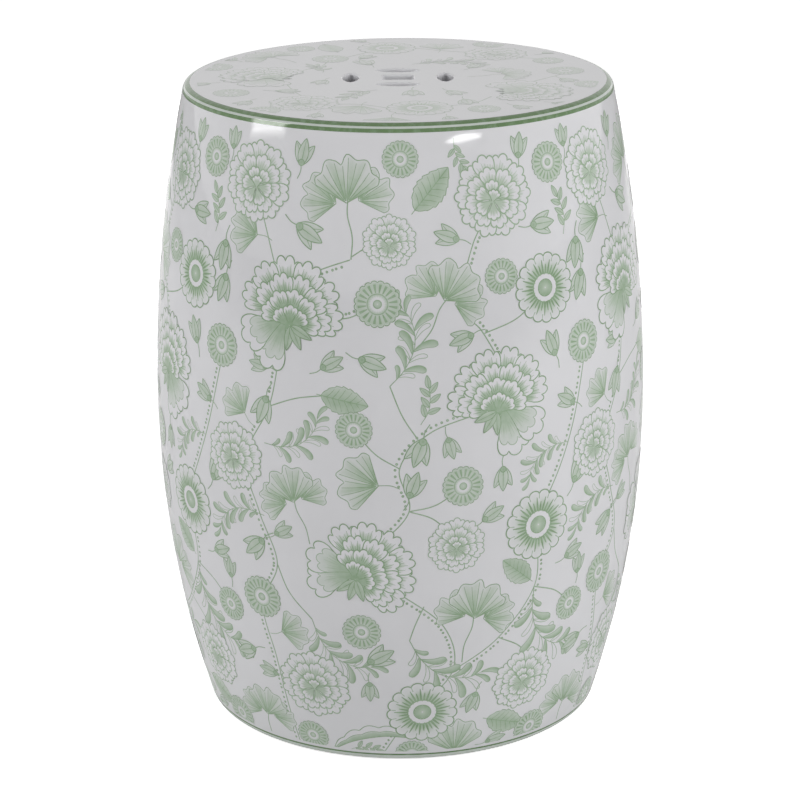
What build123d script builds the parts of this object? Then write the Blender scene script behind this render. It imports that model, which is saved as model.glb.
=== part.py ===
from build123d import *
import os

# Barrel-shaped ceramic garden stool, in millimetres, standing on the floor at Z = 0.
# The wall, seat and foot are clay members luted together; felt pads carry them.

# Overall form
HEIGHT = 450.0
BELLY_RADIUS = 172.3
BELLY_HEIGHT = 220.0
SHOULDER_RADIUS = 146.8
FOOT_RADIUS = 139.6
SHOULDER_ROUND = 6.0
FOOT_ROUND = 4.5

# Clay thicknesses
WALL = 8.0
SEAT_THICKNESS = 11.0
FOOT_RING_HEIGHT = 13.0
FOOT_RING_BORE_RADIUS = 98.0
FOOT_BORE_ROUND = 3.0

# Finger holes pierced through the seat: four lens shapes round a square, like an old coin
LENS_LENGTH = 31.0
LENS_WIDTH = 11.0
LENS_TIP_ROUND = 1.5
SIDE_LENS_OFFSET = 32.5
FRONT_LENS_OFFSET = 23.5
CENTRE_HOLE_WIDTH = 21.0
CENTRE_HOLE_DEPTH = 15.0
CENTRE_HOLE_CORNER = 2.0
HOLE_EDGE_ROUND = 1.2

# Felt pads under the foot ring
PAD_COUNT = 4
PAD_RADIUS = 9.0
PAD_THICKNESS = 1.0
FIRST_PAD_ANGLE = 45.0

# Levels of the luting seams
BASE_LEVEL = PAD_THICKNESS
FOOT_SEAM = BASE_LEVEL + FOOT_RING_HEIGHT
SEAT_SEAM = HEIGHT - SEAT_THICKNESS

# Cutting blocks reach past what they cut
CUT_MARGIN = 10.0


def barrel(inset):
    """Solid barrel: two arcs that run upright at the belly, drawn in from the outside by inset."""
    belly = (BELLY_RADIUS - inset, BELLY_HEIGHT)
    foot = (FOOT_RADIUS - inset, BASE_LEVEL)
    shoulder = (SHOULDER_RADIUS - inset, HEIGHT)
    outline = [
        TangentArc(belly, foot, tangent=(0, -1)),
        TangentArc(belly, shoulder, tangent=(0, 1)),
        Polyline(shoulder, (0, HEIGHT), (0, BASE_LEVEL), foot),
    ]
    return revolve(Plane.XZ * make_face(outline), Axis.Z)


def slice_between(low, high):
    """Flat block that keeps only what lies between two levels."""
    across = 2 * (BELLY_RADIUS + CUT_MARGIN)
    return Pos(0, 0, low) * Box(across, across, high - low, align=(Align.CENTER, Align.CENTER, Align.MIN))


def lens_outline():
    """Lens between two equal arcs, its long axis along Y and its tips rounded."""
    tip = LENS_LENGTH / 2
    side = LENS_WIDTH / 2
    right = ThreePointArc((0, -tip), (side, 0), (0, tip))
    left = ThreePointArc((0, tip), (-side, 0), (0, -tip))
    lens = make_face([right, left])
    return fillet(lens.vertices(), LENS_TIP_ROUND)


def finger_holes():
    """The five cutters of the coin-shaped piercing, standing through the seat."""
    lens = lens_outline()
    square = RectangleRounded(CENTRE_HOLE_WIDTH, CENTRE_HOLE_DEPTH, CENTRE_HOLE_CORNER)
    outlines = [square]
    for side in (-1, 1):
        outlines.append(Pos(side * SIDE_LENS_OFFSET, 0) * lens)
        outlines.append(Pos(0, side * FRONT_LENS_OFFSET) * Rot(0, 0, 90) * lens)
    start = Pos(0, 0, SEAT_SEAM - CUT_MARGIN)
    return [extrude(start * outline, SEAT_THICKNESS + 2 * CUT_MARGIN, (0, 0, 1)) for outline in outlines]


def barrel_wall():
    """Bulging wall, open at both ends, between the foot seam and the seat seam."""
    return (barrel(0) - barrel(WALL)) & slice_between(FOOT_SEAM, SEAT_SEAM)


def seat_slab():
    """Flat seat with a rounded shoulder and the finger holes, their upper edges softened."""
    slab = barrel(0) & slice_between(SEAT_SEAM, HEIGHT)
    shoulder = slab.faces().sort_by(Axis.Z)[-1].outer_wire().edges()
    slab = fillet(shoulder, SHOULDER_ROUND)
    for hole in finger_holes():
        slab = slab - hole
    hole_edges = [edge for wire in slab.faces().sort_by(Axis.Z)[-1].inner_wires() for edge in wire.edges()]
    return fillet(hole_edges, HOLE_EDGE_ROUND)


def foot_ring():
    """Ring under the wall, flanged inward, with a rounded outer foot and a softened bore."""
    disc = barrel(0) & slice_between(BASE_LEVEL, FOOT_SEAM)
    disc = fillet(disc.faces().sort_by(Axis.Z)[0].outer_wire().edges(), FOOT_ROUND)
    ring = disc - Pos(0, 0, FOOT_SEAM) * Cylinder(FOOT_RING_BORE_RADIUS, 2 * FOOT_SEAM)
    bore = ring.faces().filter_by(GeomType.CYLINDER)
    return fillet(bore.edges().filter_by(GeomType.CIRCLE), FOOT_BORE_ROUND)


def floor_pads():
    """Felt discs spaced evenly round the middle of the foot ring's underside."""
    ring_middle = (FOOT_RADIUS - FOOT_ROUND + FOOT_RING_BORE_RADIUS) / 2
    disc = Cylinder(PAD_RADIUS, PAD_THICKNESS, align=(Align.CENTER, Align.CENTER, Align.MIN))
    turns = [FIRST_PAD_ANGLE + index * 360 / PAD_COUNT for index in range(PAD_COUNT)]
    return [Rot(0, 0, turn) * Pos(ring_middle, 0) * disc for turn in turns]


def main():
    os.makedirs("parts", exist_ok=True)
    pieces = {"barrel_wall": barrel_wall(), "seat_slab": seat_slab(), "foot_ring": foot_ring()}
    for number, pad in enumerate(floor_pads(), start=1):
        pieces[f"floor_pad_{number}"] = pad
    for name, piece in pieces.items():
        export_step(piece, f"parts/{name}.step")


main()
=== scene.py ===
import math

import bpy
import numpy as np
from mathutils import Matrix, Vector
from mathutils.geometry import delaunay_2d_cdt


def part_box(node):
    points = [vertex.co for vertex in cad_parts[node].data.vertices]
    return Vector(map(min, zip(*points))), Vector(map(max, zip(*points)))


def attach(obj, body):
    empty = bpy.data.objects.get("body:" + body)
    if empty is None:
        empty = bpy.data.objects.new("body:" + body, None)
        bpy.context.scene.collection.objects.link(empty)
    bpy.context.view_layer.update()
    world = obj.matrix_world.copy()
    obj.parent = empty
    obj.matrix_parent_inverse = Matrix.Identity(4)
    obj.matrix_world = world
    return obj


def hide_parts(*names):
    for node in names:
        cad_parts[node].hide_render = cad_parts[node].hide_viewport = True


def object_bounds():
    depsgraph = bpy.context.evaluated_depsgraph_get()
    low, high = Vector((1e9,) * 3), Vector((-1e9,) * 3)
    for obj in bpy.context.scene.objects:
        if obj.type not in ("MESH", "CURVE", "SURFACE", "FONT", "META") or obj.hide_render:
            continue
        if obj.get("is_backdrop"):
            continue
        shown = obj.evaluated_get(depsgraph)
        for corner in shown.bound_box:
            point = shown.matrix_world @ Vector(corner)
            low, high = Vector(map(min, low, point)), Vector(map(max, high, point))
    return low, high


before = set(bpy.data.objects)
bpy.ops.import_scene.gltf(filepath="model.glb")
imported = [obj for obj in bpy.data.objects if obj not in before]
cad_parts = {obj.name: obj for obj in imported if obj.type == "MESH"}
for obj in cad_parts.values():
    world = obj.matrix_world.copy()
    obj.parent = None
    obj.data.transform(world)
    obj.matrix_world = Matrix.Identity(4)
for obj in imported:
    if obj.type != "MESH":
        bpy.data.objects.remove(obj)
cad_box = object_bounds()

# Barrel-shaped ceramic garden stool. Bodies are in metres, the printed pattern is drawn in millimetres.

MM = 0.001

# Levels and reach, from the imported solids
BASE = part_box("foot_ring")[0].z
FOOT_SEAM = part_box("foot_ring")[1].z
SEAT_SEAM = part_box("seat_slab")[0].z
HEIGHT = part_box("seat_slab")[1].z
BELLY_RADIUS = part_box("barrel_wall")[1].x

# Form of the body
BELLY_HEIGHT = 0.220
SHOULDER_RADIUS = 0.1468
FOOT_RADIUS = 0.1396
SHOULDER_ROUND = 0.006
FOOT_ROUND = 0.0045
WALL = 0.008
FOOT_BORE_RADIUS = 0.098
FOOT_BORE_ROUND = 0.003

# Finger holes through the seat
LENS_LENGTH = 0.031
LENS_WIDTH = 0.011
LENS_TIP_ROUND = 0.0015
SIDE_LENS_OFFSET = 0.0325
FRONT_LENS_OFFSET = 0.0235
CENTRE_HOLE_WIDTH = 0.021
CENTRE_HOLE_DEPTH = 0.015
CENTRE_HOLE_CORNER = 0.002
HOLE_EDGE_ROUND = 0.0012

# How finely the bodies are divided
TURNS = 360
ARC_STEPS = 48
ROUND_STEPS = 10
SIDE_STEPS = 4
LENS_STEPS = 22
TIP_STEPS = 8
CORNER_STEPS = 7

# What counts as nothing: a length in metres, an area in square millimetres and a share
SAME_SPOT = 1e-7
EMPTY_AREA = 1e-6
NEAR_ZERO = 1e-9

# Places in the bake: how much of its place a run fills, and the seat's rim, faces and holes
RUN_FILL = 0.98
RIM_SHARE = (0.9, 1.0)
TOP_CORNER = (0.0, 0.0)
TOP_SIZE = 0.6
UNDER_CORNER = (0.62, 0.0)
UNDER_SIZE = 0.37
HOLE_CORNER = (0.62, 0.4)
HOLE_PITCH = 0.09
HOLE_SIZE = (0.37, 0.08)
CELL_MARGIN = 0.12

# Colours, linear
GLAZE = (0.74, 0.738, 0.758)
PALE_GREEN = (0.47, 0.56, 0.455)
WASH_GREEN = (0.30, 0.42, 0.275)
DARK_GREEN = (0.118, 0.215, 0.085)

# Camera, as the photograph was taken
CAMERA_PLACE = (-0.0004, -1.8358, 0.8259)
CAMERA_PITCH = 18.37
CAMERA_ROLL = -0.45
CAMERA_LENS = 121.88
SENSOR_WIDTH = 36

# Studio
FLOOR_COLOUR = (0.86, 0.86, 0.86)
FLOOR_GLOW = 0.81
FLOOR_MIRRORED = 0.2
# Share of the floor's glow left inside the foot: painted shade on the floor under the stool
INNER_GLOW = 0.04
FLOOR_REACH = 6.0
WORLD_LIGHT = 0.185
LEFT_SOFTBOX = (-1.69, -0.59, 1.08)
LEFT_PANELS = [(0.58, 0.93), (0.64, 0.945), (0.7, 0.965), (0.76, 0.99)]
LEFT_POWER = 16.5
LEFT_ROLL = 8.8
PANEL_GAP = 0.002
RIGHT_SOFTBOX = (1.34, -1.01, 0.95)
RIGHT_SIZE = (1.8, 0.8)
RIGHT_POWER = 16.8
BACK_SOFTBOX = (0.0, 2.0, 0.55)
BACK_SIZE = (2.4, 0.9)
BACK_POWER = 17.0
STRIP_LAMP = (0.99, -1.56, 0.745)
STRIP_SIZE = (0.6, 0.02)
STRIP_POWER = 0.42
STRIP_ROLL = -1.9

# Felt colours, linear
FELT_DARK = (0.33, 0.31, 0.28)
FELT_LIGHT = (0.55, 0.53, 0.5)

# Pens and washes of the print, in millimetres; no cell of a wash is longer than this
CELL = 1.6
LINE = 0.84
FINE = 0.62
LINE_TONE = 0.87
BEAD_OFFSET = 2.8
BEAD_STEP = 3.6
BEAD_RADIUS = 0.95


def linked(name, data):
    item = bpy.data.objects.new(name, data)
    bpy.context.collection.objects.link(item)
    return item


class Shape:
    """Grids and triangles gathered for one piece; every point has its normal, tone and place in the bake."""

    def __init__(self):
        self.points, self.normals, self.tones, self.places, self.faces = [], [], [], [], []
        self.count = 0

    def add(self, points, normals, places, faces, tones=0.0):
        self.points.append(points)
        self.normals.append(normals)
        self.places.append(places)
        self.tones.append(np.broadcast_to(tones, len(points)))
        self.faces.extend((np.asarray(faces) + self.count).tolist())
        self.count += len(points)

    def add_grid(self, points, normals, places, tones=0.0, flat=None):
        """A grid of rows and columns of points.

        With its flat drawing, every face is turned outward and empty ones are left out.
        """
        rows, columns = points.shape[:2]
        number = np.arange(rows * columns).reshape(rows, columns)
        corners = [number[:-1, :-1], number[:-1, 1:], number[1:, 1:], number[1:, :-1]]
        faces = np.stack([corner.ravel() for corner in corners], 1)
        if flat is not None:
            first, second, third, fourth = flat.reshape(-1, 2)[faces.T]
            across, along = third - first, fourth - second
            area = across[:, 0] * along[:, 1] - across[:, 1] * along[:, 0]
            faces[area < 0] = faces[area < 0, ::-1]
            faces = faces[np.abs(area) > EMPTY_AREA]
        tones = np.broadcast_to(tones, (rows, columns)).ravel()
        self.add(points.reshape(-1, 3), normals.reshape(-1, 3), places.reshape(-1, 2), faces, tones)

    def build(self, name, material):
        mesh = bpy.data.meshes.new(name)
        mesh.from_pydata(np.concatenate(self.points).tolist(), [], self.faces)
        mesh.polygons.foreach_set("use_smooth", np.ones(len(self.faces), bool))
        attribute = mesh.attributes.new("tone", "FLOAT", "POINT")
        attribute.data.foreach_set("value", np.concatenate(self.tones).astype(np.float32))
        corner_points = np.empty(len(mesh.loops), np.int32)
        mesh.loops.foreach_get("vertex_index", corner_points)
        layer = mesh.uv_layers.new(name="OFBake")
        layer.data.foreach_set("uv", np.concatenate(self.places)[corner_points].astype(np.float32).ravel())
        mesh.normals_split_custom_set_from_vertices(np.concatenate(self.normals).tolist())
        mesh.materials.append(material)
        piece = linked(name, mesh)
        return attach(piece, "root")


# Profile of the body

class Arc:
    """Arc of the profile, in radius and height; side is 1 for glaze outside it and -1 for inside."""

    def __init__(self, centre, radius, side=1):
        self.centre = np.asarray(centre, float)
        self.radius = radius
        self.side = side

    def run(self, start, end, steps):
        """Points and normals from one angle to another, in degrees from level outward."""
        turn = np.radians(np.linspace(start, end, steps))
        way = np.stack([np.cos(turn), np.sin(turn)], 1)
        return self.centre + self.radius * way, self.side * way


def belly_arc(end_radius, end_level, inset=0.0):
    """Arc that stands upright at the belly and ends at a radius and level."""
    rise = end_level - BELLY_HEIGHT
    draw_in = BELLY_RADIUS - end_radius
    radius = (rise**2 + draw_in**2) / (2 * draw_in)
    return Arc((BELLY_RADIUS - inset - radius, BELLY_HEIGHT), radius)


def level_angle(arc, level):
    return math.degrees(math.asin((level - arc.centre[1]) / arc.radius))


def edge_round(arc, radius, level):
    """Arc that rounds the edge from a belly arc to a flat level, and the angle where the two arcs meet."""
    inward = -1 if level > BELLY_HEIGHT else 1
    rise = level + inward * radius - arc.centre[1]
    reach = math.sqrt((arc.radius - radius) ** 2 - rise**2)
    centre = arc.centre + (reach, rise)
    return Arc(centre, radius), math.degrees(math.atan2(rise, reach))


UPPER = belly_arc(SHOULDER_RADIUS, HEIGHT)
LOWER = belly_arc(FOOT_RADIUS, BASE)
SHOULDER, SHOULDER_START = edge_round(UPPER, SHOULDER_ROUND, HEIGHT)
FOOT_EDGE, FOOT_START = edge_round(LOWER, FOOT_ROUND, BASE)


def walked(points):
    """Distance along a line at each of its points."""
    return np.concatenate([[0], np.cumsum(np.linalg.norm(np.diff(points, axis=0), axis=1))])


def flat_run(start, end, normal):
    return np.array([start, end], float), np.array([normal, normal], float)


def turned(pairs, cos, sin):
    """Radius and height pairs swept round the axis."""
    out, up = pairs.T
    return np.stack([np.outer(out, cos), np.outer(out, sin), np.outer(up, np.ones_like(cos))], -1)


def revolve(shape, runs, share=(0.0, 1.0), tone=0.0):
    """Turns the runs of a profile about the axis; share is the part of the bake's height they take."""
    turn = np.linspace(0, 2 * math.pi, TURNS + 1)
    cos, sin = np.cos(turn), np.sin(turn)
    cos[-1], sin[-1] = cos[0], sin[0]
    total = sum(walked(points)[-1] for points, normals in runs)
    done = 0.0
    for points, normals in runs:
        steps = walked(points)
        place = share[0] + (share[1] - share[0]) * (done + RUN_FILL * steps) / total
        done += steps[-1]
        places = np.stack(np.broadcast_arrays(turn[None] / (2 * math.pi), place[:, None]), -1)
        shape.add_grid(turned(points, cos, sin), turned(normals, cos, sin), places, tone)


# Finger holes

def lens_arcs(offset_x, offset_y, crosswise):
    """The four arcs of a lens outline: two long sides and two rounded tips."""
    half, side = LENS_LENGTH / 2, LENS_WIDTH / 2
    radius = (half**2 + side**2) / (2 * side)
    back = radius - side
    tip = math.sqrt((radius - LENS_TIP_ROUND) ** 2 - back**2)
    open_angle = math.degrees(math.atan2(tip, back))
    arcs = []
    for half_turn in (0, 180):
        sign = 1 if half_turn == 0 else -1
        arcs.append((-sign * back, 0, radius, half_turn - open_angle, half_turn + open_angle, LENS_STEPS))
        ends = half_turn + open_angle, half_turn + 180 - open_angle
        arcs.append((0, sign * tip, LENS_TIP_ROUND, *ends, TIP_STEPS))
    if crosswise:
        arcs = [(-y, x, radius, start + 90, end + 90, steps) for x, y, radius, start, end, steps in arcs]
    return [(x + offset_x, y + offset_y, *rest) for x, y, *rest in arcs]


def square_arcs():
    """The four rounded corners of the middle hole."""
    across = CENTRE_HOLE_WIDTH / 2 - CENTRE_HOLE_CORNER
    along = CENTRE_HOLE_DEPTH / 2 - CENTRE_HOLE_CORNER
    corners = [(across, along), (-across, along), (-across, -along), (across, -along)]
    return [(*at, CENTRE_HOLE_CORNER, 90 * k, 90 * k + 90, CORNER_STEPS) for k, at in enumerate(corners)]


def hole_outlines():
    holes = [square_arcs()]
    for side in (-1, 1):
        holes.append(lens_arcs(side * SIDE_LENS_OFFSET, 0, False))
        holes.append(lens_arcs(0, side * FRONT_LENS_OFFSET, True))
    return holes


def outline(arcs, grow=0.0):
    """Points round a hole, grown outward, and outward directions; the first point comes again last."""
    points, ways = [], []
    for x, y, radius, start, end, steps in arcs:
        turn = np.radians(np.linspace(start, end, steps))
        way = np.stack([np.cos(turn), np.sin(turn)], 1)
        run = np.array([x, y]) + (radius + grow) * way
        met = bool(points) and np.hypot(*(points[-1][-1] - run[0])) < SAME_SPOT
        points.append(run[1:] if met else run)
        ways.append(way[1:] if met else way)
    points, ways = np.concatenate(points), np.concatenate(ways)
    if np.hypot(*(points[-1] - points[0])) < SAME_SPOT:
        points, ways = points[:-1], ways[:-1]
    return np.vstack([points, points[:1]]), np.vstack([ways, ways[:1]])


def with_third(pairs, number):
    """Flat pairs with the same third number for all."""
    return np.column_stack([pairs, np.full(len(pairs), number)])


def pierced_disc(shape, rim, holes, level, up, corner, size):
    """Flat disc with holes; corner and size give its square in the bake."""
    points, edges = [], []
    for loop in [rim] + holes:
        loop = loop[:-1]
        first = len(points)
        points.extend(loop.tolist())
        edges.extend((first + k, first + (k + 1) % len(loop)) for k in range(len(loop)))
    spots, _, faces, _, _, _ = delaunay_2d_cdt(points, edges, [], 1, NEAR_ZERO)
    spots = np.array([tuple(spot) for spot in spots])
    reach = np.abs(rim).max()
    inside = []
    for face in faces:
        middle = spots[list(face)].mean(0)
        if not any(within(middle, hole) for hole in holes):
            inside.append(face if up else face[::-1])
    solid = with_third(spots, level)
    facing = np.tile((0.0, 0.0, 1.0 if up else -1.0), (len(spots), 1))
    shape.add(solid, facing, corner + (spots / reach + 1) / 2 * size, inside)


def within(spot, loop):
    """Whether a spot lies inside a closed outline."""
    x, y = (loop - spot).T
    crossing = (y[:-1] > 0) != (y[1:] > 0)
    drop = np.where(crossing, y[1:] - y[:-1], 1.0)
    cut = x[:-1] - y[:-1] * (x[1:] - x[:-1]) / drop
    return np.count_nonzero(crossing & (cut > 0)) % 2 == 1


# Pieces of the body

def glazed_wall(material):
    shape = Shape()
    inner_upper = belly_arc(SHOULDER_RADIUS, HEIGHT, WALL)
    inner_lower = belly_arc(FOOT_RADIUS, BASE, WALL)
    inner_upper.side = inner_lower.side = -1
    low, high = level_angle(LOWER, FOOT_SEAM), level_angle(UPPER, SEAT_SEAM)
    outer = [LOWER.run(low, 0, ARC_STEPS), UPPER.run(0, high, ARC_STEPS)]
    inner = [inner_upper.run(high, 0, ARC_STEPS), inner_lower.run(0, low, ARC_STEPS)]
    top = flat_run(outer[1][0][-1], inner[0][0][0], (0, 1))
    bottom = flat_run(inner[1][0][-1], outer[0][0][0], (0, -1))
    revolve(shape, outer + [top] + inner + [bottom])
    wall = shape.build("glazed_wall", material)
    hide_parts("barrel_wall")
    return wall


def glazed_seat(material):
    shape = Shape()
    side = UPPER.run(level_angle(UPPER, SEAT_SEAM), SHOULDER_START, SIDE_STEPS)
    shoulder = SHOULDER.run(SHOULDER_START, 90, 3 * ROUND_STEPS)
    revolve(shape, [side, shoulder], RIM_SHARE)
    turn = np.linspace(0, 2 * math.pi, TURNS + 1)
    circle = np.stack([np.cos(turn), np.sin(turn)], 1)
    circle[-1] = circle[0]
    holes = hole_outlines()
    grown = [outline(arcs, HOLE_EDGE_ROUND)[0] for arcs in holes]
    bare = [outline(arcs)[0] for arcs in holes]
    pierced_disc(shape, circle * shoulder[0][-1, 0], grown, HEIGHT, True, TOP_CORNER, TOP_SIZE)
    pierced_disc(shape, circle * side[0][0, 0], bare, SEAT_SEAM, False, UNDER_CORNER, UNDER_SIZE)
    for number, arcs in enumerate(holes):
        corner = (HOLE_CORNER[0], HOLE_CORNER[1] + HOLE_PITCH * number)
        hole_wall(shape, arcs, corner, HOLE_SIZE)
    seat = shape.build("glazed_seat", material)
    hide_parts("seat_slab")
    return seat


def hole_wall(shape, arcs, corner, size):
    """Rounded upper edge and straight wall of one finger hole."""
    rows, facing = [], []
    for angle in np.radians(np.linspace(90, 0, ROUND_STEPS)):
        spots, ways = outline(arcs, HOLE_EDGE_ROUND * (1 - math.cos(angle)))
        level = HEIGHT - HOLE_EDGE_ROUND * (1 - math.sin(angle))
        rows.append(with_third(spots, level))
        facing.append(with_third(-ways * math.cos(angle), math.sin(angle)))
    spots, ways = outline(arcs)
    rows.append(with_third(spots, SEAT_SEAM))
    facing.append(with_third(-ways, 0.0))
    rows, facing = np.array(rows), np.array(facing)
    across = np.linspace(0, 1, rows.shape[1])
    down = np.linspace(0, 1, rows.shape[0])
    places = corner + size * np.stack(np.meshgrid(across, down), -1)
    shape.add_grid(rows, facing, places)


def glazed_foot(material):
    shape = Shape()
    edge = FOOT_EDGE.run(-90, FOOT_START, 2 * ROUND_STEPS)
    side = LOWER.run(FOOT_START, level_angle(LOWER, FOOT_SEAM), SIDE_STEPS)
    bore_high = Arc((FOOT_BORE_RADIUS + FOOT_BORE_ROUND, FOOT_SEAM - FOOT_BORE_ROUND), FOOT_BORE_ROUND)
    bore_low = Arc((FOOT_BORE_RADIUS + FOOT_BORE_ROUND, BASE + FOOT_BORE_ROUND), FOOT_BORE_ROUND)
    lip = bore_high.run(90, 180, ROUND_STEPS)
    under = bore_low.run(180, 270, ROUND_STEPS)
    top = flat_run(side[0][-1], lip[0][0], (0, 1))
    bore = flat_run(lip[0][-1], under[0][0], (-1, 0))
    flat = flat_run(under[0][-1], edge[0][0], (0, -1))
    revolve(shape, [edge, side, top, lip, bore, under, flat])
    foot = shape.build("glazed_foot", material)
    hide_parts("foot_ring")
    return foot


# Drawing kit for the print, in millimetres

class Drawing:
    """Printed strokes and washes: grids of points, the tone at each point, and a level."""

    def __init__(self):
        self.grids = []

    def wash(self, near, far, stops, level=0.0, shade=1.0):
        """Tone between two curves with as many points; stops give the tone at shares of the way across."""
        far = np.asarray(far, float)
        near = np.broadcast_to(np.asarray(near, float), far.shape)
        gap = np.linalg.norm(far - near, axis=1).max()
        shares = [stops[0][0]]
        for (start, _), (end, _) in zip(stops, stops[1:]):
            pieces = max(1, math.ceil(gap * (end - start) / CELL))
            shares.extend(np.linspace(start, end, pieces + 1)[1:])
        shares = np.array(shares)
        tones = np.interp(shares, *zip(*stops))
        points = near + (far - near) * shares[:, None, None]
        self.grids.append((points, tones[:, None] * np.broadcast_to(shade, len(far)), level))

    def stroke(self, points, width=LINE, tone=LINE_TONE, level=0.0, taper=0.0):
        """Pen line along points; taper is the share of its width that is lost towards the far end."""
        points = finer(np.asarray(points, float))
        across = sideways(points)
        half = width / 2 * (1 - taper * np.linspace(0, 1, len(points)))[:, None]
        rows = np.stack([points - across * half, points + across * half])
        self.grids.append((rows, np.full(rows.shape[:2], tone), level))

    def outline(self, left, right, tone=LINE_TONE, level=0.0):
        """Fine lines along both sides of a leaf, the right one laid over the left at its ends."""
        self.stroke(left, FINE, tone, level)
        self.stroke(right, FINE, tone, level + 0.02)

    def disc(self, centre, radius, stops, level=0.0):
        self.wash(centre, circle(centre, radius, 10 + int(4 * radius)), stops, level)

    def put(self, other, at=(0, 0), turn=0.0, size=1.0, flip=False, lift=0.0):
        """Adds another drawing, scaled, turned clockwise, mirrored where flip says so, and moved."""
        cos, sin = math.cos(math.radians(turn)), math.sin(math.radians(turn))
        matrix = np.array([[-cos if flip else cos, sin if flip else -sin], [sin, cos]]) * size
        for points, tones, level in other.grids:
            self.grids.append((points @ matrix + at, tones, level + lift))

    def warped(self, change):
        """The drawing with every point moved by a function."""
        self.grids = [(change(points), tones, level) for points, tones, level in self.grids]
        return self

    def ranked(self):
        """The drawing with its levels numbered from 0 up, without gaps."""
        levels = sorted({round(level, 3) for _, _, level in self.grids})
        self.grids = [(points, tones, levels.index(round(level, 3))) for points, tones, level in self.grids]
        return self


# Curves

def sideways(points):
    """Unit directions to the left of a line at each of its points."""
    along = np.gradient(points, axis=0)
    along /= np.maximum(np.linalg.norm(along, axis=1, keepdims=True), NEAR_ZERO)
    return np.stack([-along[:, 1], along[:, 0]], 1)


def finer(points, step=1.5):
    """The line with points added where its own lie farther apart than a step."""
    runs = []
    for start, end in zip(points, points[1:]):
        count = max(1, math.ceil(np.hypot(*(end - start)) / step))
        runs.append(np.linspace(start, end, count, endpoint=False))
    return np.vstack(runs + [points[-1:]])


def heading(line, spot):
    """Direction of a line at one of its points, in degrees clockwise from straight up."""
    way = line[spot + 1] - line[spot]
    return math.degrees(math.atan2(way[0], way[1]))


def polar(turn, reach):
    """Points at clockwise angles from straight up, in radians, and distances."""
    return np.stack([np.sin(turn) * reach, np.cos(turn) * reach], -1)


def circle(centre, radius, count):
    return np.asarray(centre, float) + polar(np.linspace(0, 2 * math.pi, count), radius)


def scallops(radius, depth, lobes, steps=8):
    """Closed outline of rounded lobes."""
    turn = np.linspace(0, 2 * math.pi, lobes * steps + 1)
    return polar(turn, radius - depth + depth * np.abs(np.sin(lobes * turn / 2)) ** 0.6)


def bend(*knots, step=1.3):
    """Smooth line through a few points."""
    knots = np.asarray(knots, float)
    ends = np.vstack([2 * knots[0] - knots[1], knots, 2 * knots[-1] - knots[-2]])
    runs = []
    for a, b, c, d in zip(ends, ends[1:], ends[2:], ends[3:]):
        t = np.linspace(0, 1, max(3, int(np.hypot(*(c - b)) / step)), endpoint=False)[:, None]
        curve = 2 * b + (c - a) * t + (2 * a - 5 * b + 4 * c - d) * t**2 + (3 * b - a - 3 * c + d) * t**3
        runs.append(curve / 2)
    return np.vstack(runs + [knots[-1:]])


def petal_rim(length, spread, lobes, depth):
    """Scalloped far edge of a petal that opens from the origin."""
    share = np.linspace(0, 1, lobes * 8 + 1)
    reach = length * (1 - 0.2 * np.abs(2 * share - 1) ** 2.2)
    dips = depth - depth * np.abs(np.sin(lobes * math.pi * share)) ** 0.6
    return polar(math.radians(spread) * (share - 0.5), reach - dips)


def with_sides(rim):
    """Outline of a petal: up one straight side, round its rim and down the other side."""
    rise = np.linspace(0.2, 0.95, 6)[:, None]
    return np.vstack([rim[0] * rise, rim, rim[-1] * rise[::-1]])


def pinched(points, length):
    """Draws the sides of a petal in towards its base."""
    reach = np.linalg.norm(points, axis=-1)
    turn = np.arctan2(points[..., 0], points[..., 1])
    return polar(turn * (0.62 + 0.38 * np.minimum(reach / length, 1) ** 1.5), reach)


# Flowers

def petal(length, spread, lobes, level, wash=0.8, start=0.08, shown=0.5, line=LINE_TONE):
    """Scalloped petal: dark at its base, short hatching where the wash ends, and a bare rim.

    The drawing begins at the share start of its length, and shown is the share that no other petal covers.
    """
    made = Drawing()
    rim = petal_rim(length, spread, lobes, length * 0.1)
    ends = 1 - shown * np.array([0.9, 0.66, 0.36])
    stops = [(start, wash), (ends[0], wash * 0.85), (ends[1], wash * 0.6), (ends[2], 0), (1, 0)]
    made.wash((0, 0), rim, stops, level)
    ticks = int(length * spread / 160)
    for number, share in enumerate(np.linspace(0.08, 0.92, ticks)):
        tip = rim[int(share * (len(rim) - 1))]
        reach = 1 - shown * (0.3 if number % 2 else 0.42)
        made.stroke([tip * ends[0], tip * ends[1], tip * reach], FINE, wash * 1.15, level + 0.5, taper=0.6)
    made.stroke(with_sides(rim), LINE, line, level + 0.6)
    return made.warped(lambda points: pinched(points, length))


def outer_petal(length, spread, lobes, level):
    """Large outer petal, palely washed, with a second line inside its rim."""
    made = Drawing()
    rim = petal_rim(length, spread, lobes, length * 0.1)
    made.wash((0, 0), rim, [(0.08, 0.8), (0.36, 0.6), (0.6, 0.3), (0.8, 0.16), (0.81, 0), (1, 0)], level)
    for share in np.linspace(0.1, 0.9, 7):
        tip = rim[int(share * (len(rim) - 1))]
        made.stroke([tip * 0.4, tip * 0.52, tip * 0.66], FINE, LINE_TONE * 0.7, level + 0.4, taper=0.7)
    made.stroke(rim * 0.8, FINE, LINE_TONE * 0.8, level + 0.5)
    made.stroke(with_sides(rim), LINE, LINE_TONE, level + 0.6)
    return made.warped(lambda points: pinched(points, length))


def petal_row(make, turns, base, level):
    """Petals side by side from one base: every second one lies over its neighbours."""
    made = Drawing()
    for number, turn in enumerate(turns):
        made.put(make(level + number % 2), base, turn)
    return made


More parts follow.
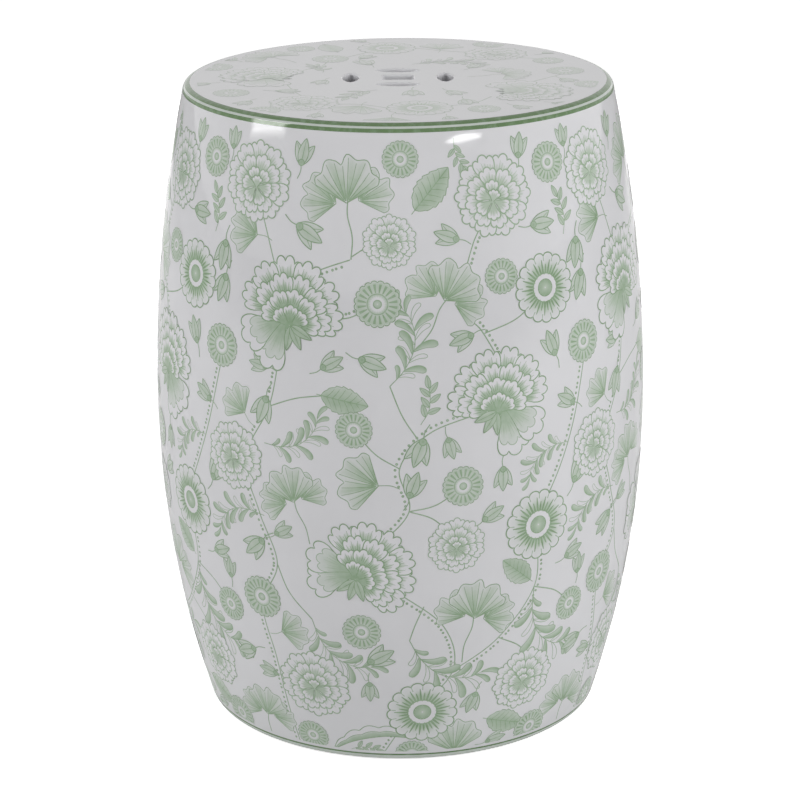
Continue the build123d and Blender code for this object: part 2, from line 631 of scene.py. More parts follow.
def peony():
    """Full peony, about 76 across, with layered petals and large outer ones to one side."""
    made = Drawing()
    made.put(petal_row(lambda level: outer_petal(40, 56, 3, level), (-148, -112), (-1, -2), 0))
    rows = [
        (38, 50, 4, (-66, -33, 0, 33, 66, 99), 0, 0.5),
        (30, 52, 4, (-46, -10, 26, 62, 98), -3, 0.5),
        (22.5, 56, 3, (-64, -24, 16, 56, 96), -6, 0.4),
        (15, 66, 3, (-42, 8, 58), -9, 0.1),
    ]
    for number, (length, spread, lobes, turns, drop, start) in enumerate(rows):
        make = lambda level: petal(length, spread, lobes, level, start=start, shown=0.44)
        made.put(petal_row(make, turns, (0, drop), 2 + 2 * number))
    made.disc((0, -8), 3.2, [(0.05, 0.8), (1, 0.8)], 9.8)
    for number, turn in enumerate((196, 160, 124)):
        made.put(leaflet(17, 6, 10 + number), (1, -8), turn)
    return made


def frilled_peony():
    """Open peony drawn mostly in line, about 54 across."""
    made = Drawing()
    rings = [(27, 50, 10, 0, 0.5), (20, 54, 8, 14, 0.4), (13, 66, 6, 40, 0.1)]
    for number, (length, spread, count, first, start) in enumerate(rings):
        turns = [first + 360 * k / count for k in range(count)]
        make = lambda level: petal(length, spread, 3, level, wash=0.5, start=start, line=LINE_TONE * 0.85)
        made.put(petal_row(make, turns, (0, -1.5 * number), 2 * number))
    made.put(petal(9, 90, 4, 6, wash=0.45), (0, -5))
    return made


def rays(count, near, far, reaches, tone):
    """Dark rays about the middle of a daisy: half widths at the near and far end, and how far they go."""
    made = Drawing()
    share = np.linspace(0, 1, 8)
    half = near + (far - near) * share + 0.4 * share * (1 - share)
    for number in range(count):
        first, last = reaches[0], reaches[1 + number % (len(reaches) - 1)]
        side = np.stack([half, first + (last - first) * share], 1)
        ray = Drawing()
        ray.wash(side * [-1, 1], side, [(0, tone), (1, tone)], 0.3)
        made.put(ray, (0, 0), 360 * (number + 0.5) / count)
    return made


def rosette():
    """Small ringed daisy, 29 across."""
    made = Drawing()
    rim = scallops(14.5, 1.2, 20, 5)
    eye = [(0.02, 0.3), (0.17, 0.55), (0.18, 0), (0.3, 0.05)]
    made.wash((0, 0), rim, eye + [(0.43, 0.5), (0.44, 0.3), (0.92, 0.4), (1, 0.1)])
    made.put(rays(20, 0.3, 0.85, (7, 12.4), 0.8))
    for radius in (6.4, 2.5):
        made.stroke(circle((0, 0), radius, 40), FINE, LINE_TONE * 0.9, 0.5)
    made.stroke(rim, FINE, LINE_TONE, 0.5)
    return made


def daisy():
    """Large daisy, 46 across: scalloped rim, long dark rays and a round eye."""
    made = Drawing()
    lobes = 17
    rim = scallops(23, 2.2, lobes)
    eye = [(0.02, 0.35), (0.13, 0.6), (0.24, 0.75), (0.245, 0), (0.4, 0)]
    made.wash((0, 0), rim, eye + [(0.41, 0.6), (0.55, 0.5), (0.76, 0.12), (1, 0)])
    made.put(rays(lobes * 2, 0.75, 0.25, (9.4, 15.4, 18.4), 0.9))
    for number in range(lobes):
        cut = Drawing()
        cut.stroke([(0, 17.4), (0, 19.2), (0, 20.9)], FINE, LINE_TONE * 0.8, 0.4, taper=0.3)
        made.put(cut, (0, 0), 360 * number / lobes)
    for radius in (9.4, 5.6):
        made.stroke(circle((0, 0), radius, 50), FINE, LINE_TONE, 0.5)
    made.stroke(rim, LINE, LINE_TONE, 0.5)
    return made


def bud():
    """Pointed bud with two side petals that turn out at their tips, 17 tall, on a short stalk."""
    made = Drawing()
    made.stroke(bend((0, 1), (0.8, -4), (-0.4, -9)), FINE, LINE_TONE * 0.9)
    for side in (-1, 1):
        made.put(leaflet(15, 6.6, 0.2, 0.3, 0.2 * side), (0, 0), 14 * side, lift=0.03 * side)
    made.put(leaflet(17, 7.2, 0.7, 0.42), (0, 0))
    made.disc((0, 1.6), 2, [(0.05, 0.75), (1, 0.6)], 2)
    made.stroke(circle((0, 1.6), 2, 18), FINE, LINE_TONE, 3)
    return made


# Leaves and stalks

def leaflet(length, width, level, tone=0.6, curl=0.0):
    """Plain pointed leaflet with a line down its middle."""
    made = Drawing()
    share = np.linspace(0, 1, 12)
    half = width / 2 * np.sin(math.pi * share**0.8) ** 0.8
    middle = np.stack([curl * length * share**2, share * length], 1)
    left, right = middle - np.outer(half, (1, 0)), middle + np.outer(half, (1, 0))
    made.wash(left, right, [(0, tone * 0.6), (0.5, tone), (1, tone * 0.8)], level)
    made.outline(left, right, LINE_TONE, level + 0.3)
    made.stroke(middle[:-1:2], FINE, LINE_TONE, level + 0.4, taper=0.5)
    return made


def fan_leaf():
    """Ribbed fan-shaped leaf with a wavy rim, 31 tall, standing on its stalk."""
    made = Drawing()
    steps = 42
    share = np.linspace(0, 1, steps + 1)
    turn = math.radians(124) * (share - 0.5)
    notch = 5 * np.exp(-(((share - 0.44) / 0.04) ** 2))
    reach = 29.5 - 6.5 * np.abs(2 * share - 1) ** 2 + 1.5 * np.cos(9 * math.pi * (share - 0.5)) - notch
    edge = polar(turn, reach)
    shade = 0.78 + 0.22 * np.sin(21 * share + 0.6) + 0.14 * np.sin(47 * share)
    made.wash((0, 0), edge, [(0.05, 0.95), (0.3, 0.7), (0.6, 0.46), (0.9, 0.26), (1, 0.12)], 0, shade)
    for place in np.linspace(0.08, 0.92, 10):
        tip = edge[int(place * steps)]
        rib = [tip * 0.1, tip * 0.35 * [1.06, 1], tip * 0.65 * [1.05, 1], tip * 0.93]
        made.stroke(rib, FINE, LINE_TONE, 0.3, taper=0.4)
    made.stroke(np.vstack([[0, 0], edge, [0, 0]]), FINE, LINE_TONE, 0.4)
    return made


def fan_sprig():
    """One fan leaf on a short bent stalk."""
    made = Drawing()
    made.stroke(bend((1, -15), (2, -8), (0, 1)), FINE, LINE_TONE * 0.9)
    made.put(fan_leaf(), lift=0.5)
    return made


def fan_cluster():
    """Three fan leaves on one stalk."""
    made = Drawing()
    made.stroke(bend((0, -34), (2, -20), (0, -6), (1, 4)), LINE, LINE_TONE * 0.9)
    for at, turn, size, lift in (((-7, 2), -62, 0.82, 0.5), ((8, 3), 58, 0.78, 1), ((0, 2), 4, 1.0, 1.5)):
        made.put(fan_leaf(), at, turn, size, lift=lift)
    return made


def toothed_leaf():
    """Broad leaf, 40 long, with a toothed rim, a middle rib and side veins."""
    made = Drawing()
    length = 40
    steps = 35
    share = np.linspace(0, 1, steps + 1)
    half = length * 0.26 * np.sin(math.pi * share**0.85) ** 0.8
    teeth = 1 + 0.16 * (1 - share * 7 % 1.0)
    right = np.stack([half * teeth, share * length], 1)
    left = right * [-1, 1]
    made.wash(left, right, [(0, 0.32), (0.3, 0.46), (0.5, 0.68), (0.7, 0.58), (1, 0.4)])
    for place in np.linspace(0.12, 0.74, 6):
        root = np.array([0, place * length])
        for side in (-1, 1):
            tip = right[min(steps, int(place * steps) + 5)] * [0.84 * side, 1]
            made.stroke([root, (root + tip) / 2 + [0, 0.4], tip], FINE, LINE_TONE, 0.3, taper=0.5)
    made.stroke([(0, -4), (0, length * 0.4), (0, length * 0.97)], FINE, LINE_TONE, 0.4)
    made.outline(left, right, LINE_TONE, 0.5)
    return made


def lobe(length, width, filled):
    """Curling lobe of a feathered spray, thin at its stalk and blunt at its tip."""
    made = Drawing()
    share = np.linspace(0, 1, 16)
    half = width / 2 * np.sqrt(np.maximum(share**1.5 * (1 - share**4), 0)) * 1.15 + 0.12
    middle = np.stack([0.34 * length * share**2.2, length * share * (1 - 0.22 * share**2)], 1)
    across = sideways(middle) * half[:, None]
    left, right = middle + across, middle - across
    if filled:
        made.wash(left, right, [(0, 0.85), (0.35, 0.6), (0.7, 0.42), (1, 0.32)])
    made.outline(left, right, LINE_TONE * (0.9 if filled else 0.75), 0.3)
    return made


def feather_spray():
    """Curling feathered spray, 76 long: a thin rib with lobes that open to both sides."""
    made = Drawing()
    rib = bend((0, 0), (-1, 21), (5, 43), (21, 59), (38, 64))
    made.stroke(rib, LINE, LINE_TONE * 0.9, 9, taper=0.5)
    lobes = [
        (0.12, 24, 15, 5, True), (0.16, -26, 17, 5, False), (0.24, -34, 24, 8, True),
        (0.27, 30, 25, 8, True), (0.35, -22, 21, 5, False), (0.38, 46, 20, 4.5, False),
        (0.45, 26, 28, 8.5, True), (0.48, -36, 27, 8.5, True), (0.56, 50, 19, 5, False),
        (0.6, -24, 23, 5.5, False), (0.66, 28, 25, 7.5, True), (0.7, -40, 26, 8, True),
        (0.78, 44, 17, 4.5, False), (0.82, -26, 21, 5.5, False), (0.88, 24, 20, 6.5, True),
        (0.92, -34, 18, 6, True), (0.99, -4, 20, 6, True),
    ]
    for number, (share, lean, reach, width, filled) in enumerate(lobes):
        spot = int(share * (len(rib) - 2))
        turn = heading(rib, spot) + lean
        made.put(lobe(reach, width, filled), rib[spot], turn, flip=lean < 0, lift=number % 4)
    return made


def twig():
    """Small curved twig, 34 long, with leaflets to both sides."""
    made = Drawing()
    rib = bend((0, 0), (2, 13), (-1, 25), (-6, 34))
    made.stroke(rib, FINE, LINE_TONE * 0.9, 9)
    sides = ((0.24, -46), (0.38, 48), (0.52, -46), (0.66, 48), (0.8, -44), (0.9, 46), (1, 0))
    for number, (share, lean) in enumerate(sides):
        spot = int(share * (len(rib) - 2))
        made.put(leaflet(12, 5, number % 3, 0.5), rib[spot], heading(rib, spot) + lean)
    return made


def scalloped_leaf():
    """Long curved leaf, 84 long, with one scalloped rim and a washed back."""
    made = Drawing()
    rib = bend((0, 0), (-5, 25), (-3, 55), (9, 84))
    share = np.linspace(0, 1, len(rib))
    reach = 14 * np.sin(math.pi * share) ** 0.7 * (0.76 + 0.24 * np.abs(np.sin(5 * math.pi * share)))
    edge = rib + sideways(rib) * reach[:, None]
    made.wash(rib, edge, [(0, 0.75), (0.3, 0.5), (0.5, 0.2), (0.52, 0), (1, 0)])
    for level, (line, width) in enumerate([((rib + edge) / 2, FINE), (edge, LINE), (rib, LINE)], 1):
        made.stroke(line, width, LINE_TONE, level)
    return made


def stem(*knots, beads=0):
    """Thin stalk through a few points, with small beads to its left where beads is 1 and right where -1."""
    made = Drawing()
    line = bend(*knots)
    made.stroke(line, LINE, LINE_TONE * 0.9)
    if beads:
        run = walked(line)
        across = sideways(line)
        for spot in np.arange(5, run[-1] - 4, BEAD_STEP):
            k = int(np.searchsorted(run, spot))
            made.disc(line[k] + across[k] * beads * BEAD_OFFSET, BEAD_RADIUS, [(0.1, 0.6), (1, 0.95)])
    return made


# Layout of the pattern: one tile, drawn four times round the barrel
# Each row gives a place across and up the tile, a turn and a size, and True where the motif is mirrored

TILE_REPEATS = 4
TILE_FRONT = 135.0

PEONIES = [
    (peony, [(58, 326, -6, 1.0), (202, 268, 14, 0.96, True), (108, 152, 40, 0.96)]),
    (frilled_peony, [
        (26, 408, 0, 0.98), (204, 402, 20, 1.0), (14, 222, 40, 0.9), (66, 60, 0, 0.98), (232, 58, 10, 0.9),
        (128, 376, 0, 0.66), (172, 170, 0, 0.74),
    ]),
]
DAISIES = [
    (daisy, [(232, 176, 0, 1.08), (150, 42, 0, 1.05), (240, 338, 0, 1.0)]),
    (rosette, [
        (120, 336, 0, 1.05), (176, 212, 0, 0.95), (2, 296, 0, 1.0), (30, 122, 0, 1.05), (268, 108, 0, 0.85),
        (252, 418, 0, 0.9), (104, 252, 0, 0.85), (136, 428, 0, 0.8), (206, 350, 0, 0.8), (106, 106, 0, 0.9),
        (248, 14, 0, 0.9), (58, 16, 0, 0.8), (142, 6, 0, 0.8),
    ]),
]
LEAVES = [
    (fan_cluster, [
        (98, 398, -6, 1.0), (164, 336, 30, 0.92), (186, 112, 12, 0.95, True), (62, 196, -20, 0.85),
        (14, 22, 8, 0.8),
    ]),
    (fan_sprig, [
        (120, 214, -78, 0.95), (30, 374, -76, 0.8), (44, 98, 74, 0.7), (24, 254, -48, 0.7, True),
        (178, 6, 0, 0.9),
    ]),
    (feather_spray, [
        (128, 282, 38, 0.72, True), (256, 230, 268, 0.52, True), (70, 112, 160, 0.7, True),
        (232, 130, 176, 0.86, True), (140, 100, 150, 0.8, True), (40, 236, 90, 0.62, True),
        (38, 184, 275, 0.62, True),
    ]),
    (toothed_leaf, [(146, 396, 40, 0.85), (82, 274, 100, 0.8), (204, 30, 110, 0.8), (228, 136, -50, 0.72)]),
    (scalloped_leaf, [(76, 7, 72, 0.72)]),
    (twig, [(176, 440, 172, 0.56), (90, 8, 76, 0.56, True), (148, 256, 22, 0.75), (260, 370, 4, 0.75)]),
]
BUDS = [
    (bud, [
        (62, 384, 120, 1.2), (232, 380, 90, 1.1), (272, 366, 190, 1.2), (4, 344, 200, 1.2),
        (108, 300, 110, 1.1), (150, 246, 200, 1.2), (42, 268, 200, 1.2), (140, 206, 20, 1.1),
        (262, 200, 30, 1.2), (36, 166, 230, 1.2), (16, 78, 250, 1.1), (110, 82, 60, 1.2),
        (258, 146, 70, 1.0), (62, 422, 10, 1.0), (176, 376, -70, 1.0), (82, 292, 60, 1.0),
        (204, 222, 180, 1.0), (166, 246, 165, 0.9), (110, 66, 180, 0.9), (184, 314, -110, 1.0),
        (246, 292, -20, 1.1), (226, 424, 10, 0.95), (206, 10, 80, 0.9), (190, 186, 60, 1.0),
        (270, 426, 0, 0.85), (192, 54, 200, 1.0), (46, 172, 60, 0.9), (262, 256, -60, 1.0),
        (34, 62, -80, 0.9), (2, 130, 0, 0.9), (42, 288, -80, 0.85),
    ]),
]

# Stems of the tile: points that each one passes, and the side of its beads
STEMS = [
    ([(44, 6), (40, 34), (36, 76), (30, 116), (46, 150), (34, 186), (24, 222), (44, 262), (52, 300)], 1),
    ([(52, 340), (40, 372), (30, 396)], 0),
    ([(66, 350), (84, 358), (101, 364)], -1),
    ([(102, 366), (112, 372), (124, 376)], 0),
    ([(118, 6), (142, 40), (172, 74), (164, 110), (128, 140)], 1),
    ([(116, 168), (140, 196), (134, 226), (154, 250), (190, 262)], 1),
    ([(205, 290), (190, 316), (176, 334), (186, 372), (200, 392)], -1),
    ([(192, 314), (218, 322), (238, 338)], 0),
    ([(172, 74), (206, 96), (232, 130), (232, 166)], -1),
    ([(236, 190), (250, 216), (262, 246), (274, 290)], 1),
    ([(206, 96), (226, 84), (234, 66)], 0),
    ([(232, 130), (252, 122), (268, 108)], 0),
    ([(134, 226), (118, 236), (104, 252)], 0),
    ([(44, 262), (64, 270), (84, 274)], 0),
    ([(72, 330), (98, 326), (118, 336)], 1),
    ([(140, 196), (158, 200), (176, 212)], 0),
    ([(140, 196), (156, 190), (170, 176)], 0),
    ([(146, 246), (136, 262), (128, 282)], 0),
    ([(46, 150), (54, 130), (70, 112)], 0),
    ([(150, 126), (144, 112), (140, 100)], 0),
]

# The seat's own layout, measured from its middle
SEAT_MOTIFS = [
    (peony, [(-92, 6, -50, 0.84), (86, -50, 110, 0.84)]),
    (frilled_peony, [(70, 80, 0, 0.86), (-62, -82, 30, 0.88)]),
    (daisy, [(-8, 104, 0, 0.92), (14, -100, 0, 0.95)]),
    (rosette, [
        (116, 18, 0, 0.9), (-112, -48, 0, 0.85), (-48, 66, 0, 0.9), (56, -104, 0, 0.75), (106, 54, 0, 0.75),
        (-70, 104, 0, 0.7),
    ]),
    (fan_cluster, [(70, 8, 70, 0.7), (-88, 72, -40, 0.75)]),
    (fan_sprig, [(-24, -92, 200, 0.85), (30, 98, 10, 0.75)]),
    (feather_spray, [(10, 44, 60, 0.62)]),
    (toothed_leaf, [(-44, 92, -20, 0.75)]),
    (twig, [(-14, -42, 230, 0.9), (-52, 18, -8, 0.75)]),
    (bud, [
        (-20, 44, -20, 1.1), (10, -44, 180, 1.1), (34, -46, 150, 1.0), (-82, -42, 100, 1.0),
        (112, -8, 150, 0.9), (-50, -8, 200, 0.9), (50, 30, 30, 0.9), (-26, 66, 30, 0.9),
        (-98, -74, 210, 0.9), (-52, -114, 190, 0.8), (44, -74, 170, 1.0), (76, -94, 140, 0.85),
    ]),
    (rosette, [(66, 116, 0, 0.8), (-128, 40, 0, 0.85), (-88, -104, 0, 0.8), (130, -28, 0, 0.75)]),
    (fan_sprig, [(-4, -128, 190, 0.8)]),
    (twig, [(-110, 58, -50, 0.75), (96, -84, 120, 0.7, True)]),
    (bud, [(104, 80, 50, 0.9), (32, -126, 170, 0.8), (-24, 128, -40, 0.8), (-128, -16, 250, 0.8)]),
]
SEAT_STEMS = [
    [(-76, -20), (-70, -44), (-64, -60)],
    [(-66, 26), (-54, 40), (-50, 54)],
    [(-36, 72), (-26, 84), (-22, 90)],
    [(12, 104), (30, 94), (50, 86)],
    [(86, 66), (96, 62), (102, 58)],
    [(90, -20), (106, -2), (114, 8)],
    [(62, -66), (50, -86), (34, -94)],
    [(-6, -100), (-24, -88), (-40, -86)],
]

# Thickness of the print: the lowest sheet lies this far off the glaze, and each level adds a step
PRINT_LIFT = 0.02
PRINT_STEP = 0.004
STEM_LEVEL, LEAF_LEVEL, BUD_LEVEL, FLOWER_LEVEL = 0, 5, 19, 35

# Strength of the print on the barrel and, fainter, on the seat
BARREL_STRENGTH = 0.8
SEAT_STRENGTH = 0.48

# The print ends at these heights on the barrel and at this radius on the seat
PRINT_LOW = 8.5
PRINT_HIGH = 443.0
SEAT_PRINT_RADIUS = 138.0


def barrel_profile(level):
    """Radius and outward normal of the barrel at heights in millimetres."""
    level = np.asarray(level, float)
    radius = np.where(level > BELLY_HEIGHT / MM, UPPER.radius, LOWER.radius) / MM
    rise = (level - BELLY_HEIGHT / MM) / radius
    out = np.sqrt(1 - rise**2)
    return BELLY_RADIUS / MM - radius * (1 - out), out, rise


def each(layout):
    """Number, drawing, place, turn, size and mirroring of every motif in a layout."""
    rows = [(motif, row) for motif, group in layout for row in group]
    for number, (motif, (across, up, turn, size, *mirrored)) in enumerate(rows):
        yield number, motif().ranked(), (across, up), turn, size, bool(mirrored)


def on_tile(layout, level):
    """Motifs at their places on the tile; each keeps its own shape where the barrel is narrower."""
    tile = Drawing()
    for number, motif, (across, up), turn, size, mirrored in each(layout):
        flat = Drawing()
        flat.put(motif, (0, 0), turn, size, mirrored, level + number % 3 / 3)
        for points, tones, height in flat.grids:
            high = points[..., 1] + up
            wide = points[..., 0] * BELLY_RADIUS / MM / barrel_profile(high)[0] + across
            tile.grids.append((np.stack([wide, high], -1), tones, height))
    return tile


def stem_tile():
    tile = Drawing()
    for number, (knots, beads) in enumerate(STEMS):
        tile.put(stem(*knots, beads=beads), lift=STEM_LEVEL + number % 4)
    return tile


def round_barrel(repeat):
    """How a tile's points come to lie on the barrel, for one of its repeats."""
    start = repeat * 2 * math.pi / TILE_REPEATS - math.pi / 2

    def place(points, lift):
        radius, out, rise = barrel_profile(points[..., 1])
        turn = start + (points[..., 0] - TILE_FRONT) * MM / BELLY_RADIUS
        facing = np.stack([out * np.cos(turn), out * np.sin(turn), rise], -1)
        solid = np.stack([radius * np.cos(turn), radius * np.sin(turn), points[..., 1]], -1)
        return (solid + facing * lift) * MM, facing
    return place


def on_seat(points, lift):
    """How a drawing's points come to lie on the flat seat."""
    solid = np.concatenate([points * MM, np.full(points.shape[:2] + (1,), HEIGHT + lift * MM)], -1)
    facing = np.broadcast_to((0.0, 0.0, 1.0), solid.shape)
    return solid, facing


def trimmed(drawing, limit):
    """The drawing with its points held inside a limit, without the sheets that lie wholly beyond it."""
    kept = Drawing()
    for points, tones, level in drawing.grids:
        held = limit(points)
        if np.abs(np.diff(held, axis=0)).max() > 0.01 and np.abs(np.diff(held, axis=1)).max() > 0.01:
            kept.grids.append((held, tones, level))
    return kept


def between_rings(points):
    return np.stack([points[..., 0], np.clip(points[..., 1], PRINT_LOW, PRINT_HIGH)], -1)


def inside_seat(points):
    reach = np.maximum(np.linalg.norm(points, axis=-1, keepdims=True), SEAT_PRINT_RADIUS)
    return points * SEAT_PRINT_RADIUS / reach


def print_piece(name, drawing, place, strength, material):
    """One piece of the print: every stroke and wash as a sheet of its own, a cell of the bake for each."""
    shape = Shape()
    columns = math.ceil(math.sqrt(len(drawing.grids)))
    for number, (points, tones, level) in enumerate(drawing.grids):
        solid, facing = place(points, PRINT_LIFT + PRINT_STEP * level)
        down, across = (np.linspace(CELL_MARGIN, 1 - CELL_MARGIN, count) for count in points.shape[:2])
        cell = np.array([number % columns, number // columns])
        places = (np.stack(np.meshgrid(across, down), -1) + cell) / columns
        shape.add_grid(solid, facing, places, tones * strength, points)
    piece = shape.build(name, material)
    return piece


def printed_pattern(material):
    foliage = stem_tile()
    foliage.put(on_tile(LEAVES, LEAF_LEVEL))
    foliage.put(on_tile(BUDS, BUD_LEVEL))
    groups = {
        "peonies": on_tile(PEONIES, FLOWER_LEVEL),
        "daisies": on_tile(DAISIES, FLOWER_LEVEL),
        "foliage": foliage,
    }
    for name, drawing in groups.items():
        drawing = trimmed(drawing, between_rings)
        for repeat in range(TILE_REPEATS):
            place = round_barrel(repeat)
            print_piece(f"printed_{name}_{repeat + 1}", drawing, place, BARREL_STRENGTH, material)
    seat = Drawing()
    for number, knots in enumerate(SEAT_STEMS):
        seat.put(stem(*knots), lift=STEM_LEVEL + number % 4)
    for number, motif, place, turn, size, mirrored in each(SEAT_MOTIFS):
        seat.put(motif, place, turn, size, mirrored, LEAF_LEVEL + number % 3 / 3)
    print_piece("printed_seat", trimmed(seat, inside_seat), on_seat, SEAT_STRENGTH, material)


# Painted rings

# Bands on the shoulder and the line above the foot, as spans along the profile from the flat faces
UPPER_BAND = (0.0010, 0.0049)
LOWER_BAND = (0.0065, 0.0091)
FOOT_LINE = (0.0066, 0.0079)
BAND_TONE = 1.0
STRIP_TONE = 0.2
RING_LIFT = 0.00004
RING_STEPS = 12


def along_edge(arc, start, belly, belly_start, distances):
    """Points and normals at distances along an edge's rounding and on to the belly arc."""
    length = arc.radius * math.radians(abs(start - belly_start))
    sign = 1 if belly_start > start else -1
    points, normals = [], []
    for distance in distances:
        angle = start + sign * math.degrees(distance / arc.radius)
        spot, way = arc.run(angle, angle, 1)
        if distance > length:
            angle = belly_start + sign * math.degrees((distance - length) / belly.radius)
            spot, way = belly.run(angle, angle, 1)
        points.append(spot[0] + way[0] * RING_LIFT)
        normals.append(way[0])
    return np.array(points), np.array(normals)


def painted_rings(name, edge, spans, material):
    """Rings painted round an edge, each from one distance along the profile to another with its tone."""
    shape = Shape()
    for number, (near, far, tone) in enumerate(spans):
        distances = np.linspace(near, far, RING_STEPS)
        if edge == "shoulder":
            run = along_edge(SHOULDER, 90, UPPER, SHOULDER_START, distances[::-1])
        else:
            run = along_edge(FOOT_EDGE, -90, LOWER, FOOT_START, distances)
        revolve(shape, [run], (number / len(spans), (number + 0.9) / len(spans)), tone)
    piece = shape.build(name, material)
    return piece


# Felt pads

def felt_pad(number, material):
    low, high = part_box(f"floor_pad_{number}")
    middle = (low + high) / 2
    radius = (high.x - low.x) / 2
    thick = high.z - low.z
    edge = thick * 0.35
    turn = np.linspace(0, 2 * math.pi, 97)
    ragged = 1 - 0.012 * (1 + np.sin(7 * turn + number) * np.cos(11 * turn))
    profile = [(0.02 * radius, low.z), (0.6 * radius, low.z)]
    for angle in np.radians(np.linspace(-90, 90, 9)):
        level = middle.z + (thick / 2 - edge) * np.sign(angle) + edge * math.sin(angle)
        profile.append((radius - edge + edge * math.cos(angle), level))
    profile += [(0.6 * radius, high.z), (0.02 * radius, high.z)]
    profile = np.array(profile)
    spots = np.outer(profile[:, 0], ragged)
    grid = np.stack([
        middle.x + spots * np.cos(turn),
        middle.y + spots * np.sin(turn),
        spots * 0 + profile[:, 1:],
    ], -1)
    along = np.gradient(profile, axis=0)
    along /= np.linalg.norm(along, axis=1, keepdims=True)
    facing = turned(np.column_stack([along[:, 1], -along[:, 0]]), np.cos(turn), np.sin(turn))
    places = np.stack(np.meshgrid(turn / (2 * math.pi), np.linspace(0, 1, len(profile))), -1)
    shape = Shape()
    shape.add_grid(grid, facing, places)
    pad = shape.build(f"felt_pad_{number}", material)
    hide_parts(f"floor_pad_{number}")
    return pad


# Materials

def new_material(name):
    material = bpy.data.materials.new(name)
    material.use_nodes = True
    return material, material.node_tree.nodes, material.node_tree.links


def noise(nodes, links, scale, detail, roughness=0.5):
    """Noise through the body's own space, so that neighbouring pieces share it."""
    place = nodes.new("ShaderNodeTexCoord")
    texture = nodes.new("ShaderNodeTexNoise")
    texture.inputs["Scale"].default_value = scale
    texture.inputs["Detail"].default_value = detail
    texture.inputs["Roughness"].default_value = roughness
    links.new(place.outputs["Object"], texture.inputs["Vector"])
    return texture.outputs["Fac"]


def spread(nodes, links, value, low, high, start=0.3, end=0.7):
    """Maps the middle of a noise to the range from low to high."""
    change = nodes.new("ShaderNodeMapRange")
    for socket, number in zip(("From Min", "From Max", "To Min", "To Max"), (start, end, low, high)):
        change.inputs[socket].default_value = number
    links.new(value, change.inputs["Value"])
    return change.outputs["Result"]


def joined(nodes, links, operation, first, second):
    node = nodes.new("ShaderNodeMath")
    node.operation = operation
    links.new(first, node.inputs[0])
    links.new(second, node.inputs[1])
    return node.outputs[0]


def coloured(nodes, links, value, first, last, between=()):
    """Colour for a value from 0 to 1, with further colours at places between."""
    ramp = nodes.new("ShaderNodeValToRGB")
    stops = ramp.color_ramp.elements
    stops[0].color = (*first, 1)
    stops[1].color = (*last, 1)
    for place, colour in between:
        stops.new(place).color = (*colour, 1)
    links.new(value, ramp.inputs["Fac"])
    return ramp.outputs["Color"]


def bumped(nodes, links, height, strength, distance):
    """Gives the material's surface a relief."""
    relief = nodes.new("ShaderNodeBump")
    relief.inputs["Strength"].default_value = strength
    relief.inputs["Distance"].default_value = distance
    links.new(height, relief.inputs["Height"])
    links.new(relief.outputs["Normal"], nodes["Principled BSDF"].inputs["Normal"])


def glaze_material():
    """Clear gloss glaze over white clay, a little cloudy; the tone of the print turns it green."""
    material, nodes, links = new_material("glaze")
    shader = nodes["Principled BSDF"]
    tone = nodes.new("ShaderNodeAttribute")
    tone.attribute_name = "tone"
    patchy = spread(nodes, links, noise(nodes, links, 240, 3), 0.86, 1.1)
    strength = joined(nodes, links, "MULTIPLY", tone.outputs["Fac"], patchy)
    greens = [(0.35, PALE_GREEN), (0.65, WASH_GREEN)]
    colour = coloured(nodes, links, strength, GLAZE, DARK_GREEN, greens)
    cloudy = spread(nodes, links, noise(nodes, links, 11, 4), 0.965, 1.015)
    specks = spread(nodes, links, noise(nodes, links, 620, 2), 1.0, 0.8, 0.76, 0.84)
    shade = nodes.new("ShaderNodeVectorMath")
    shade.operation = "SCALE"
    links.new(colour, shade.inputs[0])
    links.new(joined(nodes, links, "MULTIPLY", cloudy, specks), shade.inputs["Scale"])
    links.new(shade.outputs[0], shader.inputs["Base Color"])
    links.new(spread(nodes, links, noise(nodes, links, 35, 3), 0.025, 0.055), shader.inputs["Roughness"])
    bumped(nodes, links, noise(nodes, links, 26, 2), 0.25, 0.0004)
    return material


def felt_material():
    """Pressed wool felt: mottled fibres, dull and slightly furry."""
    material, nodes, links = new_material("felt")
    shader = nodes["Principled BSDF"]
    fibres = noise(nodes, links, 1800, 4, 0.7)
    colour = coloured(nodes, links, spread(nodes, links, fibres, 0, 1), FELT_DARK, FELT_LIGHT)
    links.new(colour, shader.inputs["Base Color"])
    shader.inputs["Roughness"].default_value = 0.95
    shader.inputs["Sheen Weight"].default_value = 0.3
    bumped(nodes, links, fibres, 0.6, 0.0002)
    return material


def seen_white(nodes, links, mirrored=1.0):
    """1 for straight views, a share for reflections and views through glass, and 0 for light on things."""
    path = nodes.new("ShaderNodeLightPath")
    seen = path.outputs["Is Camera Ray"]
    for ray in ("Is Glossy Ray", "Is Transmission Ray"):
        share = spread(nodes, links, path.outputs[ray], 0, mirrored, 0, 1)
        seen = joined(nodes, links, "MAXIMUM", seen, share)
    return seen


def floor_material():
    """Plain white studio floor that keeps the object's shadow; inside the foot its glow fades out, painted
    shade on the floor under the stool.
    """
    material, nodes, links = new_material("studio_floor")
    shader = nodes["Principled BSDF"]
    shader.inputs["Base Color"].default_value = (*FLOOR_COLOUR, 1)
    shader.inputs["Roughness"].default_value = 0.9
    shader.inputs["Emission Color"].default_value = (1, 1, 1, 1)
    glow = spread(nodes, links, seen_white(nodes, links, FLOOR_MIRRORED), 0, FLOOR_GLOW, 0, 1)
    place = nodes.new("ShaderNodeTexCoord")
    reach = nodes.new("ShaderNodeVectorMath")
    reach.operation = "LENGTH"
    links.new(place.outputs["Object"], reach.inputs[0])
    # Painted shade: the glow fades from the bore out to the foot's rim and drops to INNER_GLOW under the
    # stool
    painted_shade_mask = spread(nodes, links, reach.outputs["Value"], INNER_GLOW, 1, FOOT_BORE_RADIUS, FOOT_RADIUS)
    links.new(joined(nodes, links, "MULTIPLY", glow, painted_shade_mask), shader.inputs["Emission Strength"])
    return material


# Studio

